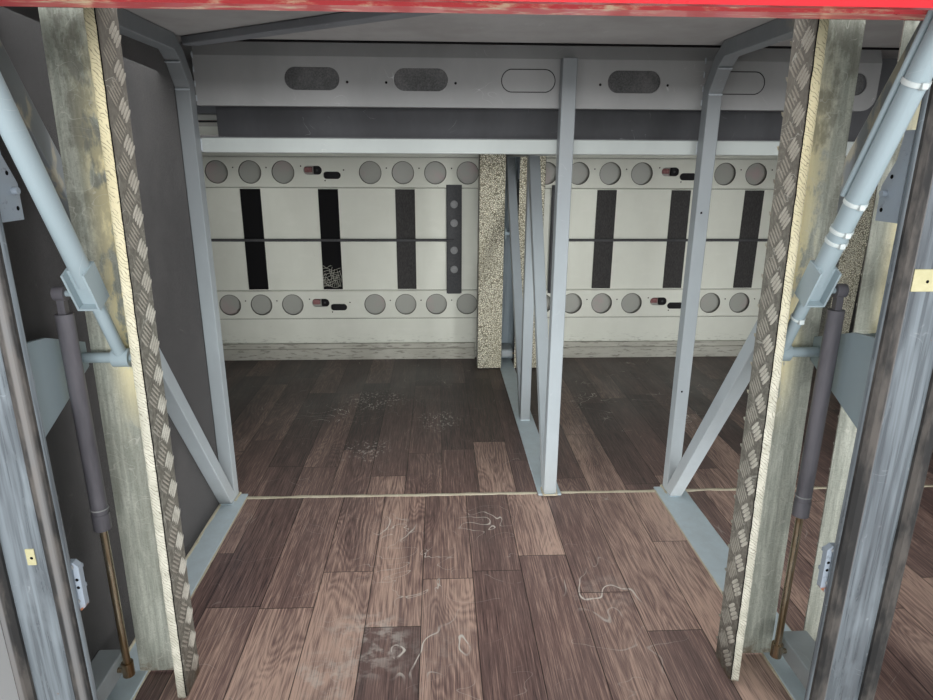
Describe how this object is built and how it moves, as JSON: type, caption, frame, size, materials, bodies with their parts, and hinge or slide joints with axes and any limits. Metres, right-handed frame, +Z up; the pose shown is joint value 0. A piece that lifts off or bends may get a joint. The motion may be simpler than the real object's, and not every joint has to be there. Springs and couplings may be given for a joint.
{
  "type": "underfloor hold section of a transporter body",
  "caption": "Through-going underfloor hold of a transporter body: welded truss frames, plank floor, corner guards and lift-up side flaps on arms with gas struts.",
  "frame": {"origin": "on the underside of the base frame, midway across the body and at the middle pillar of the far side", "axes": "+X along the vehicle, +Y across it from the near side to the far side, +Z up"},
  "size_m": [3.782, 2.6175, 2.616],
  "materials": {
    "frame_paint": "satin blue-grey paint",
    "beam_paint": "matt grey paint",
    "ceiling_paint": "matt grey",
    "plank_covering": "dark wood-look vinyl planks, scuffed",
    "body_red": "gloss red paint",
    "pillar_coat": "worn glossy dark blue-grey",
    "seal_rubber": "matt black",
    "felt_lining": "black-grey ribbed felt",
    "checker_plate": "worn chequer plate",
    "stucco_plate": "stucco-embossed sheet",
    "flap_inner": "light warm grey",
    "black_padding": "matt black foam rubber",
    "latch_steel": "grey painted steel",
    "strut_black": "black paint",
    "rod_steel": "oiled steel"
  },
  "bodies": {
    "hold": {"base_frame": "frame_paint", "floor_near": "plank_covering", "floor_far": "plank_covering", "near_frame_1": "frame_paint", "near_frame_2": "frame_paint", "near_frame_3": "frame_paint", "far_frame_1": "frame_paint", "far_frame_2": "frame_paint", "far_frame_3": "frame_paint", "mid_rail": "frame_paint", "header_beam": "beam_paint", "stowage_tray": "beam_paint", "roof_brace": "frame_paint", "ceiling_near": "ceiling_paint", "ceiling_far": "ceiling_paint", "deck_far": "ceiling_paint", "cant_rails": "frame_paint", "cant_panels": "body_red", "pillars": "pillar_coat", "pillar_seals": "seal_rubber", "left_walls": "felt_lining", "end_wall": "felt_lining", "guards_near": "checker_plate", "guards_far": "stucco_plate", "thresholds": "flap_inner", "arm_brackets": "frame_paint", "strut_brackets": "frame_paint", "pillar_fittings": "frame_paint"},
    "arms_near_1": {"arms_near_1": "frame_paint"},
    "flap_near_1": {"flap_near_1_skin": "body_red", "flap_near_1_frame": "flap_inner", "flap_near_1_strips": "black_padding", "flap_near_1_latch": "latch_steel"},
    "cylinders_near_1": {"cylinders_near_1": "strut_black"},
    "rods_near_1": {"rods_near_1": "rod_steel"},
    "arms_near_2": {"arms_near_2": "frame_paint"},
    "flap_near_2": {"flap_near_2_skin": "body_red", "flap_near_2_frame": "flap_inner", "flap_near_2_strips": "black_padding", "flap_near_2_latch": "latch_steel"},
    "cylinders_near_2": {"cylinders_near_2": "strut_black"},
    "rods_near_2": {"rods_near_2": "rod_steel"},
    "arms_far_1": {"arms_far_1": "frame_paint"},
    "flap_far_1": {"flap_far_1_skin": "body_red", "flap_far_1_frame": "flap_inner", "flap_far_1_strips": "black_padding", "flap_far_1_latch": "latch_steel"},
    "cylinders_far_1": {"cylinders_far_1": "strut_black"},
    "rods_far_1": {"rods_far_1": "rod_steel"},
    "arms_far_2": {"arms_far_2": "frame_paint"},
    "flap_far_2": {"flap_far_2_skin": "body_red", "flap_far_2_frame": "flap_inner", "flap_far_2_strips": "black_padding", "flap_far_2_latch": "latch_steel"},
    "cylinders_far_2": {"cylinders_far_2": "strut_black"},
    "rods_far_2": {"rods_far_2": "rod_steel"}
  },
  "joints": [
    {"name": "lift_near_1", "type": "hinge", "parent": "hold", "child": "arms_near_1", "pos_m": [-0.319, -1.012, 0.838], "axis": [1, 0, 0], "range_deg": [0, 137.25]},
    {"name": "flap_hinge_near_1", "type": "hinge", "parent": "arms_near_1", "child": "flap_near_1", "pos_m": [-0.319, -1.31754, 1.4455], "axis": [1, 0, 0], "range_deg": [-137.26, 0.01]},
    {"name": "strut_pin_near_1", "type": "hinge", "parent": "arms_near_1", "child": "cylinders_near_1", "pos_m": [-0.319, -1.0776, 0.96843], "axis": [1, 0, 0], "range_deg": [-137.26, 0.01]},
    {"name": "rod_near_1", "type": "slide", "parent": "cylinders_near_1", "child": "rods_near_1", "axis": [0, 0, 1], "range_m": [-0.0001, 0.27006]},
    {"name": "lift_near_2", "type": "hinge", "parent": "hold", "child": "arms_near_2", "pos_m": [1.099, -1.012, 0.838], "axis": [1, 0, 0], "range_deg": [0, 137.25]},
    {"name": "flap_hinge_near_2", "type": "hinge", "parent": "arms_near_2", "child": "flap_near_2", "pos_m": [1.099, -1.31754, 1.4455], "axis": [1, 0, 0], "range_deg": [-137.26, 0.01]},
    {"name": "strut_pin_near_2", "type": "hinge", "parent": "arms_near_2", "child": "cylinders_near_2", "pos_m": [1.099, -1.0776, 0.96843], "axis": [1, 0, 0], "range_deg": [-137.26, 0.01]},
    {"name": "rod_near_2", "type": "slide", "parent": "cylinders_near_2", "child": "rods_near_2", "axis": [0, 0, 1], "range_m": [-0.0001, 0.27006]},
    {"name": "lift_far_1", "type": "hinge", "parent": "hold", "child": "arms_far_1", "pos_m": [-0.914, 1.012, 0.838], "axis": [1, 0, 0], "range_deg": [0, 137.25]},
    {"name": "flap_hinge_far_1", "type": "hinge", "parent": "arms_far_1", "child": "flap_far_1", "pos_m": [-0.914, 1.2, 0.1845], "axis": [1, 0, 0], "range_deg": [-137.26, 0.01]},
    {"name": "strut_pin_far_1", "type": "hinge", "parent": "arms_far_1", "child": "cylinders_far_1", "pos_m": [-0.914, 1.05237, 0.69769], "axis": [1, 0, 0], "range_deg": [-137.26, 0.01]},
    {"name": "rod_far_1", "type": "slide", "parent": "cylinders_far_1", "child": "rods_far_1", "axis": [0, 0, 1], "range_m": [-0.27006, 0.0001]},
    {"name": "lift_far_2", "type": "hinge", "parent": "hold", "child": "arms_far_2", "pos_m": [0.914, 1.012, 0.838], "axis": [1, 0, 0], "range_deg": [0, 137.25]},
    {"name": "flap_hinge_far_2", "type": "hinge", "parent": "arms_far_2", "child": "flap_far_2", "pos_m": [0.914, 1.2, 0.1845], "axis": [1, 0, 0], "range_deg": [-137.26, 0.01]},
    {"name": "strut_pin_far_2", "type": "hinge", "parent": "arms_far_2", "child": "cylinders_far_2", "pos_m": [0.914, 1.05237, 0.69769], "axis": [1, 0, 0], "range_deg": [-137.26, 0.01]},
    {"name": "rod_far_2", "type": "slide", "parent": "cylinders_far_2", "child": "rods_far_2", "axis": [0, 0, 1], "range_m": [-0.27006, 0.0001]}
  ],
  "couplings": [
    {"joint": "flap_hinge_near_1", "follows": "lift_near_1", "ratio": -1},
    {"joint": "strut_pin_near_1", "follows": "lift_near_1", "ratio": -1},
    {"joint": "rod_near_1", "follows": "lift_near_1", "m_per_rad": 0.1127},
    {"joint": "flap_hinge_near_2", "follows": "lift_near_2", "ratio": -1},
    {"joint": "strut_pin_near_2", "follows": "lift_near_2", "ratio": -1},
    {"joint": "rod_near_2", "follows": "lift_near_2", "m_per_rad": 0.1127},
    {"joint": "flap_hinge_far_1", "follows": "lift_far_1", "ratio": -1},
    {"joint": "strut_pin_far_1", "follows": "lift_far_1", "ratio": -1},
    {"joint": "rod_far_1", "follows": "lift_far_1", "m_per_rad": -0.1127},
    {"joint": "flap_hinge_far_2", "follows": "lift_far_2", "ratio": -1},
    {"joint": "strut_pin_far_2", "follows": "lift_far_2", "ratio": -1},
    {"joint": "rod_far_2", "follows": "lift_far_2", "m_per_rad": -0.1127}
  ]
}
